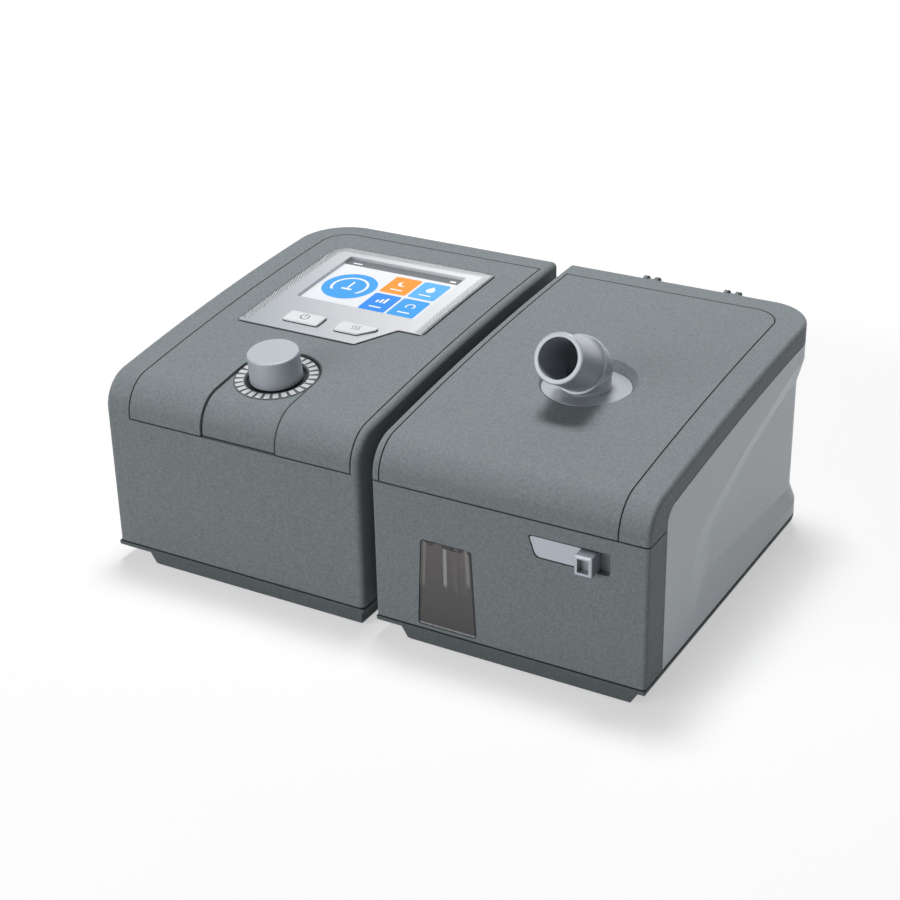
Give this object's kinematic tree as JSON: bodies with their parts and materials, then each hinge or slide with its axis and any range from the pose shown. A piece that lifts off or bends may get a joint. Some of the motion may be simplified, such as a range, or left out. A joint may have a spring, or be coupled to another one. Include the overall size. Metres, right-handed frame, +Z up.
{
  "type": "bedside breathing-therapy machine with heated humidifier",
  "caption": "Bedside positive-airway-pressure unit with dial and display, docked humidifier with hinged lid, sliding latch and swivel air outlet.",
  "frame": {"origin": "on the floor, below the middle of the whole machine's box, hinge ears and latch block included", "axes": "+X from the main unit to the humidifier, +Y from front to back, +Z up"},
  "size_m": [0.266, 0.1994, 0.132],
  "materials": {
    "dark_plastic": "fine grained moulded plastic, dark blue-grey",
    "light_plastic": "fine grained moulded plastic, mid blue-grey",
    "silver_plastic": "satin silver-grey plastic",
    "white_plastic": "glossy white plastic",
    "base_plastic": "dark moulded plastic",
    "inner_plastic": "plain black plastic",
    "clear_plastic": "clear polycarbonate",
    "smoky_window": "smoky polycarbonate",
    "screen_glass": "clear cover",
    "screen": "display module",
    "circuit_board": "green circuit board",
    "rubber": "soft black rubber",
    "seal_rubber": "translucent silicone",
    "foam": "filter foam",
    "steel": "steel",
    "heater_metal": "anodised aluminium"
  },
  "bodies": {
    "main_unit": {"main_base": "base_plastic", "main_feet": "rubber", "main_housing": "dark_plastic", "main_screws": "steel", "top_panel": "dark_plastic", "dial_tick_ring": "silver_plastic", "encoder_body": "inner_plastic", "display_bezel": "silver_plastic", "display_window": "screen_glass", "lcd_module": "screen", "lcd_carrier": "inner_plastic", "control_board": "circuit_board", "button_switches": "inner_plastic", "main_board": "circuit_board", "volute_base": "inner_plastic", "volute_cover": "inner_plastic", "blower_motor": "steel", "blower_mounts": "rubber", "port_seal": "rubber", "inlet_filter": "foam", "filter_cover": "base_plastic", "power_inlet": "inner_plastic"},
    "dial_spindle": {"encoder_spindle": "steel"},
    "dial": {"knob": "silver_plastic"},
    "power_key": {"power_button": "white_plastic"},
    "humidity_key": {"humidity_button": "white_plastic"},
    "blower_rotor": {"impeller": "white_plastic", "motor_shaft": "steel"},
    "humidifier": {"humidifier_base": "base_plastic", "humidifier_feet": "rubber", "humidifier_housing": "dark_plastic", "humidifier_screws": "steel", "side_panel": "light_plastic", "chamber_window": "smoky_window", "hinge_pins": "steel", "heater_frame": "inner_plastic", "heater_plate": "heater_metal", "chamber_tub": "clear_plastic", "chamber_plate": "heater_metal", "chamber_seal": "seal_rubber", "chamber_lid": "clear_plastic", "inlet_spigot": "inner_plastic", "chamber_port_seal": "seal_rubber", "lid_gasket": "seal_rubber"},
    "latch": {"latch_slider": "silver_plastic"},
    "lid": {"lid_frame": "dark_plastic", "lid_panel": "dark_plastic", "lid_liner": "inner_plastic", "outlet_seat": "silver_plastic"},
    "elbow": {"elbow": "silver_plastic", "elbow_ring": "silver_plastic"}
  },
  "joints": [
    {"name": "dial_turn", "type": "hinge", "parent": "main_unit", "child": "dial_spindle", "pos_m": [-0.0615, -0.06085, 0.09513], "axis": [0, -0.1284, 0.9917], "continuous": true},
    {"name": "dial_press", "type": "slide", "parent": "dial_spindle", "child": "dial", "axis": [0, 0.1284, -0.9917], "range_m": [0, 0.0008], "stiffness_N_per_m": 900, "springref_m": -0.001},
    {"name": "power_press", "type": "slide", "parent": "main_unit", "child": "power_key", "axis": [0, 0.096, -0.9954], "range_m": [0, 0.0006], "stiffness_N_per_m": 900, "springref_m": -0.001},
    {"name": "humidity_press", "type": "slide", "parent": "main_unit", "child": "humidity_key", "axis": [0, 0.096, -0.9954], "range_m": [0, 0.0006], "stiffness_N_per_m": 900, "springref_m": -0.001},
    {"name": "blower_spin", "type": "hinge", "parent": "main_unit", "child": "blower_rotor", "pos_m": [-0.076, 0.03015, 0.039], "axis": [0, 0, 1], "continuous": true},
    {"name": "humidifier_dock", "type": "slide", "parent": "main_unit", "child": "humidifier", "axis": [1, 0, 0], "range_m": [0, 0.02]},
    {"name": "latch_slide", "type": "slide", "parent": "humidifier", "child": "latch", "axis": [1, 0, 0], "range_m": [0, 0.0046], "stiffness_N_per_m": 400, "springref_m": -0.002},
    {"name": "lid_hinge", "type": "hinge", "parent": "humidifier", "child": "lid", "pos_m": [0.0475, 0.09615, 0.1023], "axis": [-1, 0, 0], "range_deg": [0, 95]},
    {"name": "elbow_swivel", "type": "hinge", "parent": "lid", "child": "elbow", "pos_m": [0.0678, -0.01585, 0.09854], "axis": [0, 0, 1], "continuous": true}
  ]
}
